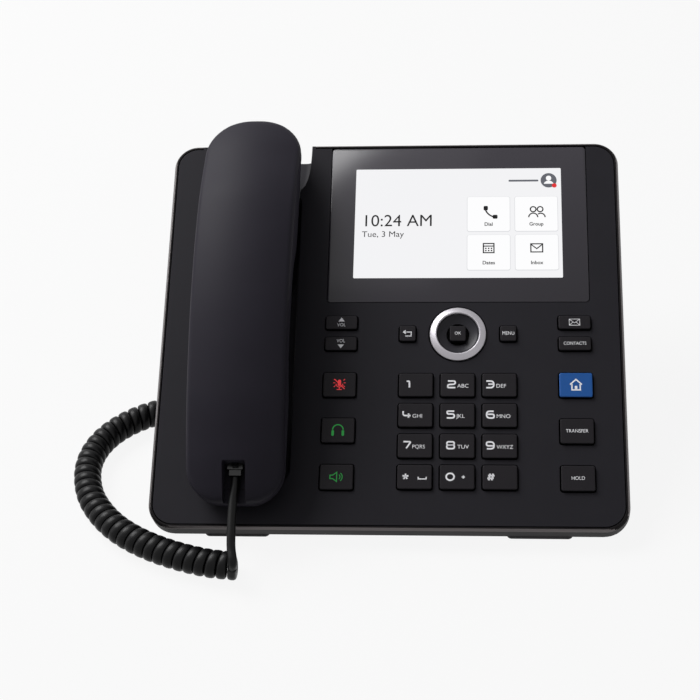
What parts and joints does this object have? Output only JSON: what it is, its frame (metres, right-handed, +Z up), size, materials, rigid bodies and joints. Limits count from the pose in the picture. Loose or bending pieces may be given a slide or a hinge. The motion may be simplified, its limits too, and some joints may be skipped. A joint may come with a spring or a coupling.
{
  "type": "desk ip phone",
  "caption": "Tilted desk phone with a wide display, dial and function keys, a round rocker, a lift-off handset on a curly cord and a clip-on stand.",
  "frame": {"origin": "on the table, under the middle of the standing phone, cord left aside", "axes": "+X to the user's right along the face, +Y away from the user, +Z up"},
  "size_m": [0.2893, 0.2279, 0.136],
  "materials": {
    "cover": "fine satin moulded plastic",
    "handset": "soft satin moulded plastic",
    "key": "smooth satin",
    "blue_key": "satin",
    "trim": "gunmetal satin",
    "silver": "bright satin ring",
    "glass": "black-backed cover glass",
    "rubber": "matt",
    "cord": "semi-gloss jacket",
    "board": "solder resist",
    "inner_metal": "plain",
    "jack_metal": "tinned shell",
    "jack_plastic": "plain",
    "clear_plastic": "clear modular plug"
  },
  "bodies": {
    "base": {"top_cover": "cover", "trim_frame": "trim", "rear_cover": "cover", "stand": "cover", "display_glass": "glass", "display_module": "inner_metal", "key_mat": "rubber", "main_board": "board", "speaker_driver": "inner_metal", "handset_jack": "jack_plastic", "headset_jack": "jack_plastic", "network_jacks": "jack_metal", "power_jack": "jack_plastic", "front_foot_left": "rubber", "front_foot_right": "rubber", "stand_foot_left": "rubber", "stand_foot_right": "rubber", "base_plug": "clear_plastic", "curly_cord": "cord"},
    "handset": {"handset_outer_shell": "handset", "handset_inner_shell": "handset", "handset_socket": "jack_plastic", "receiver": "inner_metal", "microphone": "inner_metal", "handset_plug": "clear_plastic", "handset_lead": "cord"},
    "hook plunger": {"hook_plunger": "key"},
    "rocker gimbal": {"nav_carrier": "jack_plastic"},
    "rocker ring": {"nav_ring": "silver", "nav_dish": "key"},
    "key 1": {"key_1": "key"},
    "key 2": {"key_2": "key"},
    "key 3": {"key_3": "key"},
    "key 4": {"key_4": "key"},
    "key 5": {"key_5": "key"},
    "key 6": {"key_6": "key"},
    "key 7": {"key_7": "key"},
    "key 8": {"key_8": "key"},
    "key 9": {"key_9": "key"},
    "key star": {"key_star": "key"},
    "key 0": {"key_0": "key"},
    "key hash": {"key_hash": "key"},
    "speaker key": {"speaker_key": "key"},
    "headset key": {"headset_key": "key"},
    "mute key": {"mute_key": "key"},
    "hold key": {"hold_key": "key"},
    "transfer key": {"transfer_key": "key"},
    "home key": {"home_key": "blue_key"},
    "volume down key": {"volume_down_key": "key"},
    "volume up key": {"volume_up_key": "key"},
    "contacts key": {"contacts_key": "key"},
    "message key": {"message_key": "key"},
    "back key": {"back_key": "key"},
    "menu key": {"menu_key": "key"},
    "ok key": {"ok_key": "key"}
  },
  "joints": [
    {"name": "handset_lift", "type": "slide", "parent": "base", "child": "handset", "axis": [0, -0.5, 0.866], "range_m": [0, 0.06], "deforming": ["handset_lead"]},
    {"name": "hook_rise", "type": "slide", "parent": "base", "child": "hook plunger", "axis": [0, -0.5, 0.866], "range_m": [0, 0.004], "stiffness_N_per_m": 60, "springref_m": 0.005},
    {"name": "rocker_up_down", "type": "hinge", "parent": "base", "child": "rocker gimbal", "pos_m": [0.0351, -0.00824, 0.05971], "axis": [1, 0, 0], "range_deg": [-1.8, 1.8], "stiffness_Nm_per_rad": 0.3},
    {"name": "rocker_left_right", "type": "hinge", "parent": "rocker gimbal", "child": "rocker ring", "pos_m": [0.0351, -0.00824, 0.05971], "axis": [0, 0.866, 0.5], "range_deg": [-1.8, 1.8], "stiffness_Nm_per_rad": 0.3},
    {"name": "press_key_1", "type": "slide", "parent": "base", "child": "key 1", "axis": [0, -0.5, 0.866], "range_m": [-0.0012, 0], "stiffness_N_per_m": 600, "springref_m": 0.0008},
    {"name": "press_key_2", "type": "slide", "parent": "base", "child": "key 2", "axis": [0, -0.5, 0.866], "range_m": [-0.0012, 0], "stiffness_N_per_m": 600, "springref_m": 0.0008},
    {"name": "press_key_3", "type": "slide", "parent": "base", "child": "key 3", "axis": [0, -0.5, 0.866], "range_m": [-0.0012, 0], "stiffness_N_per_m": 600, "springref_m": 0.0008},
    {"name": "press_key_4", "type": "slide", "parent": "base", "child": "key 4", "axis": [0, -0.5, 0.866], "range_m": [-0.0012, 0], "stiffness_N_per_m": 600, "springref_m": 0.0008},
    {"name": "press_key_5", "type": "slide", "parent": "base", "child": "key 5", "axis": [0, -0.5, 0.866], "range_m": [-0.0012, 0], "stiffness_N_per_m": 600, "springref_m": 0.0008},
    {"name": "press_key_6", "type": "slide", "parent": "base", "child": "key 6", "axis": [0, -0.5, 0.866], "range_m": [-0.0012, 0], "stiffness_N_per_m": 600, "springref_m": 0.0008},
    {"name": "press_key_7", "type": "slide", "parent": "base", "child": "key 7", "axis": [0, -0.5, 0.866], "range_m": [-0.0012, 0], "stiffness_N_per_m": 600, "springref_m": 0.0008},
    {"name": "press_key_8", "type": "slide", "parent": "base", "child": "key 8", "axis": [0, -0.5, 0.866], "range_m": [-0.0012, 0], "stiffness_N_per_m": 600, "springref_m": 0.0008},
    {"name": "press_key_9", "type": "slide", "parent": "base", "child": "key 9", "axis": [0, -0.5, 0.866], "range_m": [-0.0012, 0], "stiffness_N_per_m": 600, "springref_m": 0.0008},
    {"name": "press_key_star", "type": "slide", "parent": "base", "child": "key star", "axis": [0, -0.5, 0.866], "range_m": [-0.0012, 0], "stiffness_N_per_m": 600, "springref_m": 0.0008},
    {"name": "press_key_0", "type": "slide", "parent": "base", "child": "key 0", "axis": [0, -0.5, 0.866], "range_m": [-0.0012, 0], "stiffness_N_per_m": 600, "springref_m": 0.0008},
    {"name": "press_key_hash", "type": "slide", "parent": "base", "child": "key hash", "axis": [0, -0.5, 0.866], "range_m": [-0.0012, 0], "stiffness_N_per_m": 600, "springref_m": 0.0008},
    {"name": "press_speaker_key", "type": "slide", "parent": "base", "child": "speaker key", "axis": [0, -0.5, 0.866], "range_m": [-0.0012, 0], "stiffness_N_per_m": 600, "springref_m": 0.0008},
    {"name": "press_headset_key", "type": "slide", "parent": "base", "child": "headset key", "axis": [0, -0.5, 0.866], "range_m": [-0.0012, 0], "stiffness_N_per_m": 600, "springref_m": 0.0008},
    {"name": "press_mute_key", "type": "slide", "parent": "base", "child": "mute key", "axis": [0, -0.5, 0.866], "range_m": [-0.0012, 0], "stiffness_N_per_m": 600, "springref_m": 0.0008},
    {"name": "press_hold_key", "type": "slide", "parent": "base", "child": "hold key", "axis": [0, -0.5, 0.866], "range_m": [-0.0012, 0], "stiffness_N_per_m": 600, "springref_m": 0.0008},
    {"name": "press_transfer_key", "type": "slide", "parent": "base", "child": "transfer key", "axis": [0, -0.5, 0.866], "range_m": [-0.0012, 0], "stiffness_N_per_m": 600, "springref_m": 0.0008},
    {"name": "press_home_key", "type": "slide", "parent": "base", "child": "home key", "axis": [0, -0.5, 0.866], "range_m": [-0.0012, 0], "stiffness_N_per_m": 600, "springref_m": 0.0008},
    {"name": "press_volume_down_key", "type": "slide", "parent": "base", "child": "volume down key", "axis": [0, -0.5, 0.866], "range_m": [-0.0012, 0], "stiffness_N_per_m": 600, "springref_m": 0.0008},
    {"name": "press_volume_up_key", "type": "slide", "parent": "base", "child": "volume up key", "axis": [0, -0.5, 0.866], "range_m": [-0.0012, 0], "stiffness_N_per_m": 600, "springref_m": 0.0008},
    {"name": "press_contacts_key", "type": "slide", "parent": "base", "child": "contacts key", "axis": [0, -0.5, 0.866], "range_m": [-0.0012, 0], "stiffness_N_per_m": 600, "springref_m": 0.0008},
    {"name": "press_message_key", "type": "slide", "parent": "base", "child": "message key", "axis": [0, -0.5, 0.866], "range_m": [-0.0012, 0], "stiffness_N_per_m": 600, "springref_m": 0.0008},
    {"name": "press_back_key", "type": "slide", "parent": "base", "child": "back key", "axis": [0, -0.5, 0.866], "range_m": [-0.0012, 0], "stiffness_N_per_m": 600, "springref_m": 0.0008},
    {"name": "press_menu_key", "type": "slide", "parent": "base", "child": "menu key", "axis": [0, -0.5, 0.866], "range_m": [-0.0012, 0], "stiffness_N_per_m": 600, "springref_m": 0.0008},
    {"name": "press_ok_key", "type": "slide", "parent": "base", "child": "ok key", "axis": [0, -0.5, 0.866], "range_m": [-0.0012, 0], "stiffness_N_per_m": 600, "springref_m": 0.0008}
  ],
  "couplings": [
    {"joint": "hook_rise", "follows": "handset_lift", "ratio": 0.0666}
  ]
}
